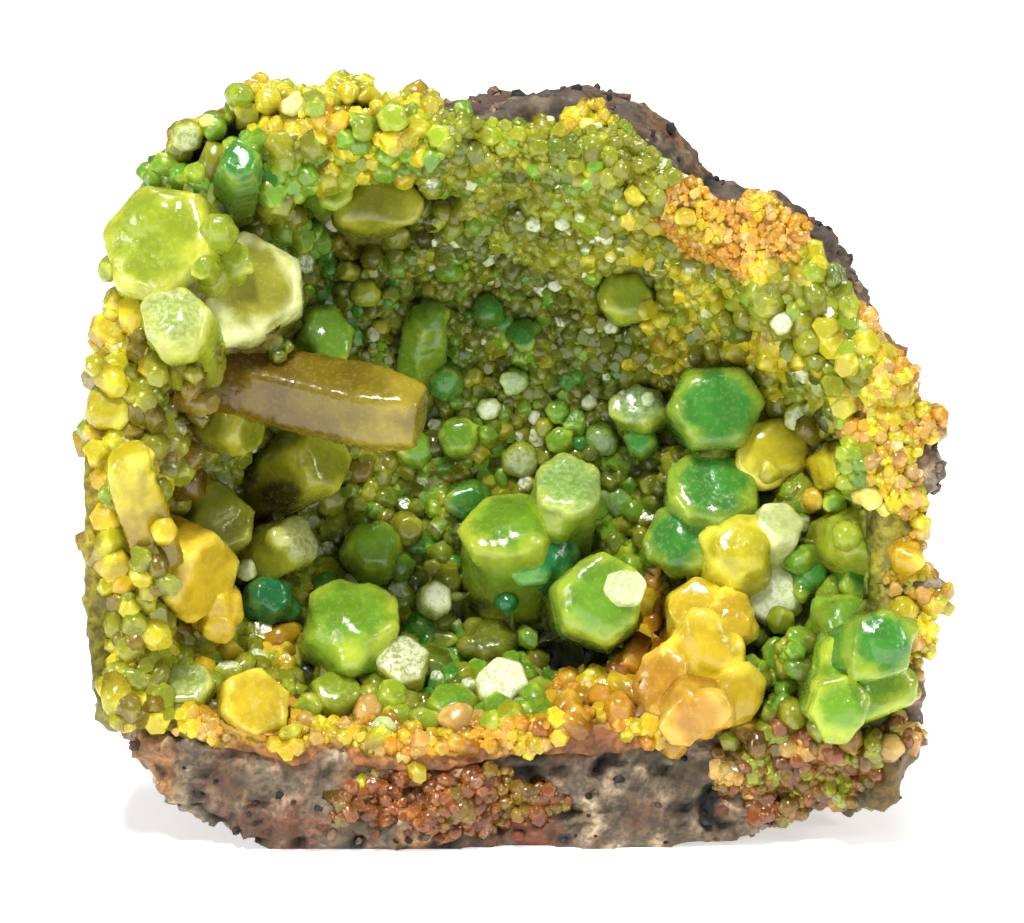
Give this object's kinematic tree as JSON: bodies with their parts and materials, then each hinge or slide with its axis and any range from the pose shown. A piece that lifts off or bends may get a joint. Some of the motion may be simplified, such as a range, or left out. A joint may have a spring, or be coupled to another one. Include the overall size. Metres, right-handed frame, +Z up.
{
  "type": "mimetite specimen on gossan",
  "caption": "Broken pocket of gossan rock lined with grown-together hexagonal mimetite crystals, standing on a flat foot.",
  "frame": {"origin": "on the flat foot, below the middle of the pocket", "axes": "+Z up from the foot, -Y out of the pocket's opening, +X to the right seen from in front"},
  "size_m": [0.0681, 0.0389, 0.0597],
  "materials": {
    "gossan": "rough broken iron-stained rock",
    "mimetite": "resinous translucent crystals, green to yellow"
  },
  "bodies": {
    "root": {"gossan_matrix": "gossan", "mimetite_crust": "mimetite"}
  },
  "joints": []
}
